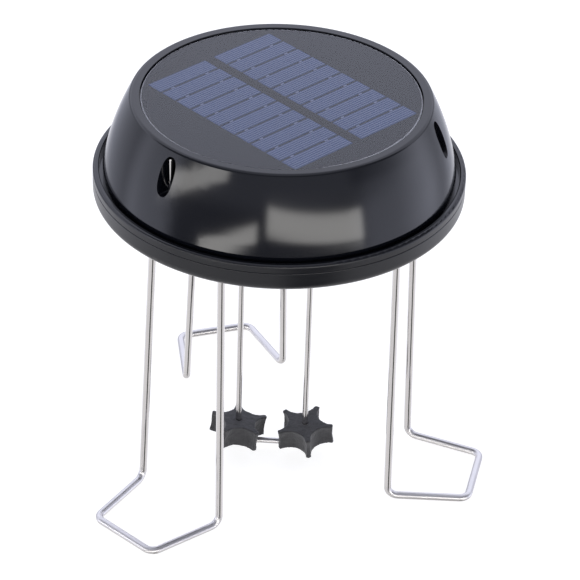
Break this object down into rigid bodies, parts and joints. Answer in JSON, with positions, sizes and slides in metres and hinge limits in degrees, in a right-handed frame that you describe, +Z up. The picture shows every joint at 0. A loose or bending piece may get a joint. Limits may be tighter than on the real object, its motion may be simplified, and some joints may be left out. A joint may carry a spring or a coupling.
{
  "type": "solar bird bath agitator",
  "caption": "Round gloss-black solar housing on bent wire legs, with a motor-turned wire loop carrying foam stars that stir the water of a bird bath.",
  "frame": {"origin": "on the housing's axis, on the surface that the wire feet stand on", "axes": "+Z up along the housing's axis; the rear leg lies towards +Y and the battery door towards -Y"},
  "size_m": [0.1674, 0.1626, 0.1708],
  "materials": {
    "housing_black": "gloss, near black with a blue cast",
    "seal_rubber": "matt black",
    "screw_steel": "bright zinc plate",
    "panel_clear": "clear cast resin with a fine haze",
    "cell_silicon": "dark blue silicon with pale fingers",
    "tinned_copper": "tinned",
    "panel_backing": "dark grey laminate",
    "adhesive": "clear silicone bead",
    "stainless_wire": "drawn and polished wire",
    "motor_steel": "plain zinc plate",
    "bronze": "sintered",
    "copper": "enamelled or bare copper",
    "white_plastic": "natural nylon",
    "magnet": "sintered ferrite",
    "battery_sleeve": "shrink sleeve",
    "spring_nickel": "nickel plate",
    "circuit_board": "solder mask",
    "chip_black": "moulded epoxy",
    "aluminium_can": "drawn can",
    "switch_black": "moulded",
    "switch_red": "moulded",
    "lead_black": "insulation",
    "lead_red": "insulation",
    "foam_black": "closed-cell foam, matt, fine striations"
  },
  "bodies": {
    "housing": {"top_shell": "housing_black", "base_cover": "housing_black", "housing_seal": "seal_rubber", "housing_screws": "screw_steel", "panel_cover": "panel_clear", "solar_cells": "cell_silicon", "cell_ribbons": "tinned_copper", "panel_board": "panel_backing", "panel_adhesive": "adhesive", "panel_pads": "tinned_copper", "tie_pegs": "stainless_wire", "leg_rear": "stainless_wire", "leg_left": "stainless_wire", "leg_right": "stainless_wire", "motor_can": "motor_steel", "motor_bush_lower": "bronze", "motor_bush_upper": "bronze", "motor_end_cap": "white_plastic", "motor_terminals": "tinned_copper", "motor_brushes": "copper", "motor_magnets": "magnet", "motor_clamp": "motor_steel", "clamp_screws": "screw_steel", "shaft_seal": "seal_rubber", "battery_front": "battery_sleeve", "battery_back": "battery_sleeve", "battery_contacts": "spring_nickel", "battery_springs": "spring_nickel", "battery_door": "housing_black", "battery_door_seal": "seal_rubber", "battery_door_screws": "screw_steel", "control_board": "circuit_board", "control_screws": "screw_steel", "control_chip": "chip_black", "control_capacitor": "aluminium_can", "control_coil": "chip_black", "switch_body": "switch_black", "switch_terminals": "tinned_copper", "panel_lead_left": "lead_black", "panel_lead_right": "lead_red", "motor_lead_left": "lead_black", "motor_lead_right": "lead_red", "battery_lead_front": "lead_red", "battery_lead_back": "lead_black", "switch_lead_front": "lead_red", "switch_lead_back": "lead_red"},
    "rotor": {"motor_shaft": "motor_steel", "armature_core": "motor_steel", "armature_windings": "copper", "commutator": "copper", "rotor_hub": "housing_black", "hub_grub_screw": "screw_steel", "agitator_wire": "stainless_wire", "star_left": "foam_black", "star_right": "foam_black"},
    "slider": {"switch_slider": "switch_red"}
  },
  "joints": [
    {"name": "rotor_spin", "type": "hinge", "parent": "housing", "child": "rotor", "pos_m": [0, 0, 0.12], "axis": [0, 0, 1], "continuous": true},
    {"name": "switch_slide", "type": "slide", "parent": "housing", "child": "slider", "axis": [1, 0, 0], "range_m": [0, 0.004]}
  ]
}
